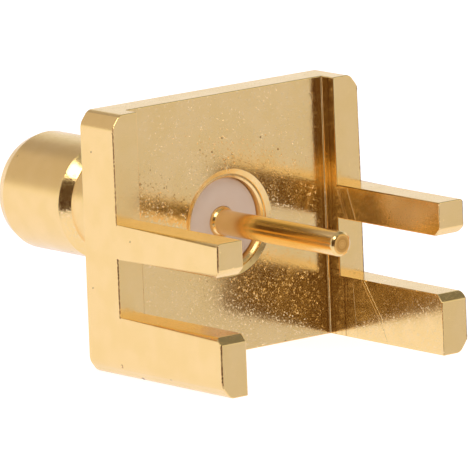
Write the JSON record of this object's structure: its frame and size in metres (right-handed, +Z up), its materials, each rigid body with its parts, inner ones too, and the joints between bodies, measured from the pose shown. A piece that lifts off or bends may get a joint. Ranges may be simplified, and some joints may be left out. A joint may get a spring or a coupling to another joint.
{
  "type": "coaxial connector",
  "caption": "Gold-plated push-on coaxial jack for a board edge: slotted legs over the board, a square flange, a grooved barrel and a centre contact in an insulating bead.",
  "frame": {"origin": "on the coaxial axis, in the plane that the board's edge stops against", "axes": "+Y along the coaxial axis out of the barrel's mouth, legs and solder pin towards -Y, +Z up off the board, +X to the right seen from the legs"},
  "size_m": [0.0094, 0.0144, 0.008],
  "materials": {
    "gold_body": "gold plate over milled and turned brass, satin with fine tool lines",
    "bead": "smooth waxy white",
    "gold_contact": "polished gold plate"
  },
  "bodies": {
    "root": {"body": "gold_body", "insulator": "bead", "center_contact": "gold_contact"}
  },
  "joints": []
}
